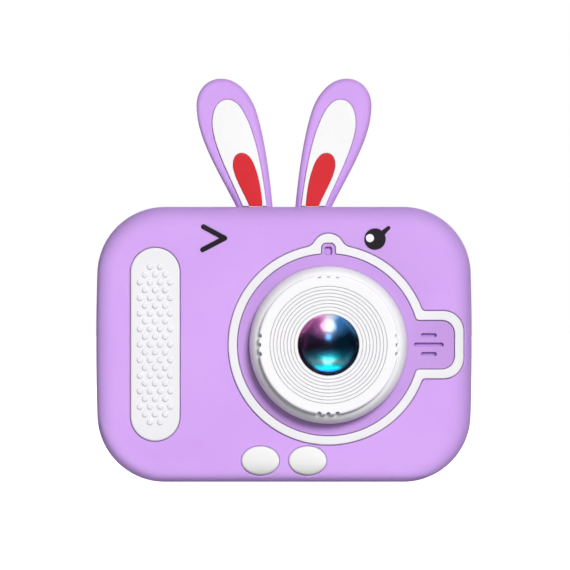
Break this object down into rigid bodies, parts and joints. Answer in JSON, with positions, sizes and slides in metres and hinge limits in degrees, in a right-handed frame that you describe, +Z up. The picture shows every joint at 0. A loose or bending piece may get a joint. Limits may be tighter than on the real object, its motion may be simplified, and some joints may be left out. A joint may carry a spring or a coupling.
{
  "type": "kids digital camera",
  "caption": "Children's digital camera in a soft jacket with rabbit ears and a winking face, a large round lens, a studded grip pad and a screen with push buttons on the back.",
  "frame": {"origin": "centre of the bounding box's underside, level with the surface it stands on", "axes": "+Z up, the lens looks along -Y, +X is to the right as seen from in front of the lens"},
  "size_m": [0.1, 0.041, 0.1074],
  "materials": {
    "lilac_silicone": "soft-touch moulded silicone",
    "lilac_abs": "satin moulded ABS",
    "white_abs": "polished moulded ABS",
    "white_inlay": "moulded silicone insert",
    "red_inlay": "moulded silicone insert",
    "black_inlay": "moulded silicone insert",
    "clear_glass": "coated optical glass",
    "lens_resin": "coated optical resin",
    "black_abs": "spark-eroded black ABS",
    "filter_glass": "coated cyan filter glass",
    "sensor_silicon": "bonded image sensor die",
    "board_green": "solder mask over fibreglass",
    "chip_black": "moulded epoxy package",
    "smoked_window": "printed acrylic window",
    "display_grey": "liquid crystal panel",
    "battery_foil": "laminated foil pouch",
    "wire_pvc": "PVC insulation",
    "plated_steel": "nickel plated steel",
    "zinc_steel": "zinc plated steel",
    "flex_amber": "polyimide film",
    "light_pipe": "clear moulded acrylic"
  },
  "bodies": {
    "camera": {"silicone_jacket": "lilac_silicone", "left_ear_lining": "white_inlay", "right_ear_lining": "white_inlay", "left_ear_accent": "red_inlay", "right_ear_accent": "red_inlay", "left_foot": "white_inlay", "right_foot": "white_inlay", "wink_eye": "black_inlay", "round_eye": "black_inlay", "eye_glint": "white_inlay", "front_cover": "white_abs", "rear_cover": "white_abs", "lens_surround": "white_abs", "front_panel": "lilac_abs", "grip_pad": "white_abs", "lens_barrel": "white_abs", "lens_bezel": "white_abs", "front_glass": "clear_glass", "lens_holder": "black_abs", "front_lens_element": "lens_resin", "aperture_stop": "black_abs", "rear_lens_element": "lens_resin", "infrared_filter": "filter_glass", "image_sensor": "sensor_silicon", "sensor_board": "board_green", "screen_window": "smoked_window", "display_panel": "display_grey", "display_flex": "flex_amber", "flex_connector": "chip_black", "main_board": "board_green", "board_chips": "chip_black", "key_switches": "plated_steel", "shutter_switch": "plated_steel", "shutter_board": "board_green", "usb_socket": "plated_steel", "card_socket": "plated_steel", "battery": "battery_foil", "battery_leads": "wire_pvc", "speaker": "chip_black", "microphone": "plated_steel", "charge_light": "light_pipe", "rear_camera": "black_abs", "rear_camera_window": "smoked_window", "case_screws": "zinc_steel", "board_screws": "zinc_steel"},
    "ok_key": {"ok_button": "lilac_abs"},
    "up_key": {"up_button": "lilac_abs"},
    "down_key": {"down_button": "lilac_abs"},
    "left_key": {"left_button": "lilac_abs"},
    "right_key": {"right_button": "lilac_abs"},
    "power_key": {"power_button": "lilac_abs"},
    "menu_key": {"menu_button": "lilac_abs"},
    "shutter": {"shutter_button": "white_abs"},
    "card": {"memory_card": "chip_black"}
  },
  "joints": [
    {"name": "ok_press", "type": "slide", "parent": "camera", "child": "ok_key", "axis": [0, -1, 0], "range_m": [0, 0.0005], "stiffness_N_per_m": 1000},
    {"name": "up_press", "type": "slide", "parent": "camera", "child": "up_key", "axis": [0, -1, 0], "range_m": [0, 0.0005], "stiffness_N_per_m": 1000},
    {"name": "down_press", "type": "slide", "parent": "camera", "child": "down_key", "axis": [0, -1, 0], "range_m": [0, 0.0005], "stiffness_N_per_m": 1000},
    {"name": "left_press", "type": "slide", "parent": "camera", "child": "left_key", "axis": [0, -1, 0], "range_m": [0, 0.0005], "stiffness_N_per_m": 1000},
    {"name": "right_press", "type": "slide", "parent": "camera", "child": "right_key", "axis": [0, -1, 0], "range_m": [0, 0.0005], "stiffness_N_per_m": 1000},
    {"name": "power_press", "type": "slide", "parent": "camera", "child": "power_key", "axis": [0, -1, 0], "range_m": [0, 0.0005], "stiffness_N_per_m": 1000},
    {"name": "menu_press", "type": "slide", "parent": "camera", "child": "menu_key", "axis": [0, -1, 0], "range_m": [0, 0.0005], "stiffness_N_per_m": 1000},
    {"name": "shutter_press", "type": "slide", "parent": "camera", "child": "shutter", "axis": [0, 0, -1], "range_m": [0, 0.0008], "stiffness_N_per_m": 1000},
    {"name": "card_slide", "type": "slide", "parent": "camera", "child": "card", "axis": [1, 0, 0], "range_m": [0, 0.012]}
  ]
}
